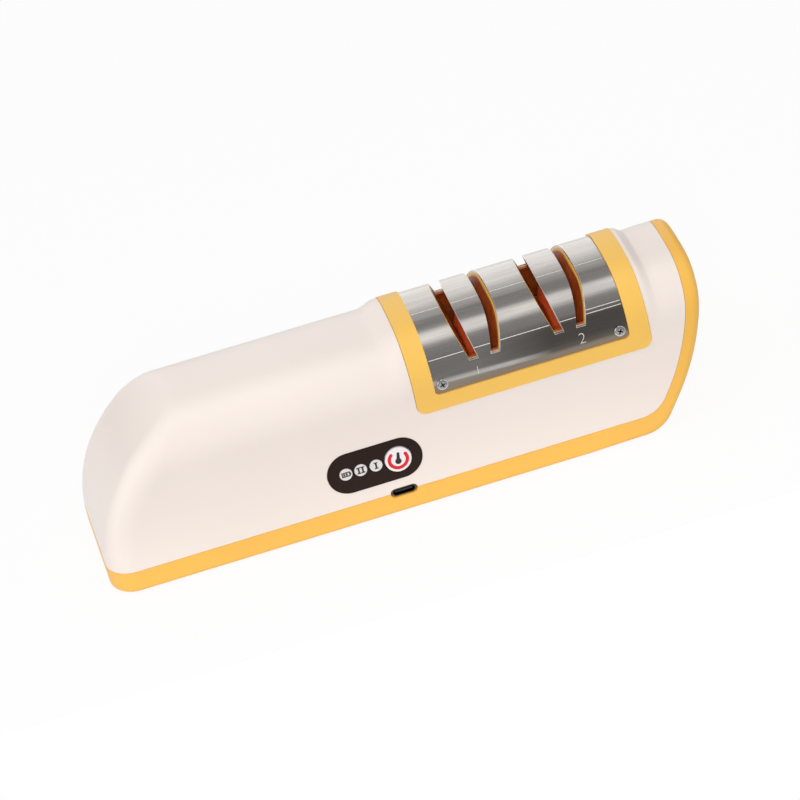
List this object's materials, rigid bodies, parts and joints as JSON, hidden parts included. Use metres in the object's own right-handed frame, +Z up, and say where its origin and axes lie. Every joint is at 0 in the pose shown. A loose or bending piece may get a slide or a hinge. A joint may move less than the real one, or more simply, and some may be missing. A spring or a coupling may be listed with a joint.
{
  "type": "electric knife sharpener",
  "caption": "Cordless electric knife sharpener: a long white shell on a yellow base, with a slotted steel head over spinning grinding wheels, a button panel and a charging socket.",
  "frame": {"origin": "centre of the footprint at the height that the rubber feet stand on", "axes": "+X along the length towards the nose, -Y is the front with the button panel, +Z up"},
  "size_m": [0.2375, 0.063, 0.0665],
  "materials": {
    "white_shell": "satin to glossy injection-moulded plastic, warm white",
    "yellow_plastic": "smooth satin plastic, warm yellow",
    "brushed_steel_sheet": "fine brushed stainless sheet, glossy",
    "screw_steel": "bright zinc-plated screws",
    "dark_panel": "dark brown-black plastic, satin",
    "white_button": "smooth white plastic with a printed red ring",
    "lens": "smooth translucent white plastic",
    "coarse_abrasive": "rough bonded abrasive, orange-red",
    "fine_abrasive": "fine bonded abrasive, orange-red",
    "steel": "turned steel",
    "zinc": "die-cast and plated",
    "brass": "nickelled brass and bronze",
    "dark_plastic": "matt black plastic",
    "natural_plastic": "matt natural plastic",
    "magnet": "dark sintered ferrite",
    "cell_wrap": "metal can in a blue shrink sleeve",
    "board_green": "green solder mask",
    "rubber": "matt black rubber",
    "lead_insulation": "red silicone insulation"
  },
  "bodies": {
    "housing": {"lower_housing": "yellow_plastic", "head_housing": "yellow_plastic", "upper_shell": "white_shell", "steel_cover": "brushed_steel_sheet", "cover_screws": "screw_steel", "left_bearing": "brass", "right_bearing": "brass", "motor_can": "steel", "motor_end_cap": "dark_plastic", "motor_terminals": "brass", "motor_magnets": "magnet", "motor_strap": "steel", "strap_screws": "screw_steel", "battery_cell": "cell_wrap", "battery_holder": "natural_plastic", "battery_contacts": "brass", "main_board": "board_green", "board_components": "dark_plastic", "board_screws": "screw_steel", "usb_socket": "steel", "usb_tongue": "dark_plastic", "control_panel": "dark_panel", "tact_switch": "dark_plastic", "switch_board": "board_green", "switch_board_screws": "screw_steel", "indicator_lenses": "lens", "indicator_leds": "lens", "housing_screws": "screw_steel", "head_screws": "screw_steel", "rubber_feet": "rubber", "motor_leads": "lead_insulation", "battery_leads": "lead_insulation"},
    "wheel_drive": {"drive_shaft": "steel", "coarse_wheel": "coarse_abrasive", "fine_wheel": "fine_abrasive", "wheel_hubs": "zinc", "wheel_washers": "steel", "left_sleeve": "steel", "middle_sleeve": "steel", "right_sleeve": "steel", "shaft_clip": "steel", "shaft_coupling": "natural_plastic", "motor_shaft": "steel", "motor_armature": "steel"},
    "push_button": {"power_button": "white_button", "switch_plunger": "natural_plastic"}
  },
  "joints": [
    {"name": "wheel_spin", "type": "hinge", "parent": "housing", "child": "wheel_drive", "pos_m": [0, 0, 0.0318], "axis": [1, 0, 0], "continuous": true},
    {"name": "button_press", "type": "slide", "parent": "housing", "child": "push_button", "axis": [0, 0.9949, -0.1011], "range_m": [0, 0.0008], "stiffness_N_per_m": 600, "springref_m": -0.0006}
  ]
}
